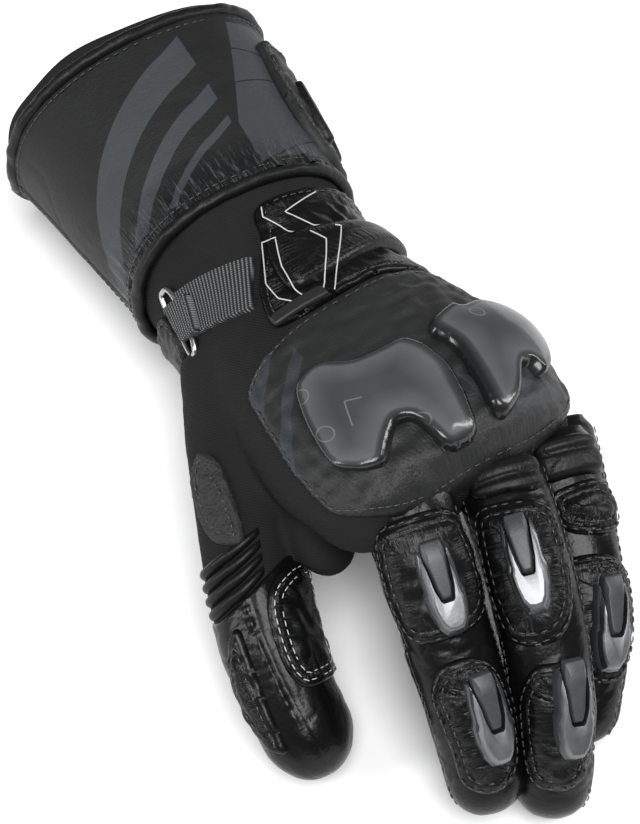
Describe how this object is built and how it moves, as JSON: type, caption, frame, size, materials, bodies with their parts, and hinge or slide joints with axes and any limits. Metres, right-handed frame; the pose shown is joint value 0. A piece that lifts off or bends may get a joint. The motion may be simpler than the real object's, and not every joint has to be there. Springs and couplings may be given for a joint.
{
  "type": "motorcycle gauntlet glove",
  "caption": "Left-hand long-cuff leather and textile motorcycle glove with moulded knuckle guards, finger sliders and a wrist strap.",
  "frame": {"origin": "centre of the bounding box at the surface that the glove rests on, palm down", "axes": "fingers toward -Y, cuff mouth toward +Y, thumb toward -X, back of the hand +Z"},
  "size_m": [0.1576, 0.3274, 0.105],
  "materials": {
    "black_textile": "matte twill",
    "matte_leather": "matte, smooth, printed",
    "gloss_leather": "glossy, creased",
    "grey_webbing": "ribbed webbing",
    "ring_metal": "polished",
    "guard_plastic": "smoky, translucent",
    "slider_plastic": "metal-look, polished",
    "insert_plastic": "satin",
    "pad_rubber": "fine-textured"
  },
  "bodies": {
    "root": {"hand_shell": "black_textile", "index_shell": "gloss_leather", "middle_shell": "gloss_leather", "ring_shell": "gloss_leather", "little_shell": "gloss_leather", "thumb_gusset": "black_textile", "thumb_leather": "gloss_leather", "thumb_rib_1": "gloss_leather", "thumb_rib_2": "gloss_leather", "thumb_rib_3": "gloss_leather", "thumb_rib_4": "gloss_leather", "thumb_abrasion_pad": "pad_rubber", "thumb_outer_patch": "gloss_leather", "thumb_web_patch": "gloss_leather", "gauntlet_cuff": "matte_leather", "cuff_mouth_binding": "gloss_leather", "cuff_wrist_binding": "gloss_leather", "cuff_closure_flap": "matte_leather", "cuff_flap_rib_a": "gloss_leather", "cuff_flap_rib_b": "gloss_leather", "wrist_panel": "gloss_leather", "wrist_padded_roll": "gloss_leather", "wrist_label": "black_textile", "strap_ring": "ring_metal", "webbing_strap": "grey_webbing", "strap_tab": "gloss_leather", "back_panel": "matte_leather", "knuckle_guard_inner": "guard_plastic", "knuckle_guard_outer": "guard_plastic", "palm_patch": "gloss_leather", "index_patch_near": "gloss_leather", "index_patch_far": "gloss_leather", "middle_patch_near": "gloss_leather", "middle_patch_far": "gloss_leather", "knuckle_roll_middle": "gloss_leather", "knuckle_roll_ring": "gloss_leather", "ring_patch": "gloss_leather", "bridge_strap": "gloss_leather", "index_slider_near": "slider_plastic", "index_slider_near_insert": "insert_plastic", "index_slider_far": "slider_plastic", "index_slider_far_insert": "insert_plastic", "middle_slider_near": "slider_plastic", "middle_slider_near_insert": "insert_plastic", "middle_slider_far": "slider_plastic", "middle_slider_far_insert": "insert_plastic", "ring_slider": "slider_plastic", "ring_slider_insert": "insert_plastic"}
  },
  "joints": []
}
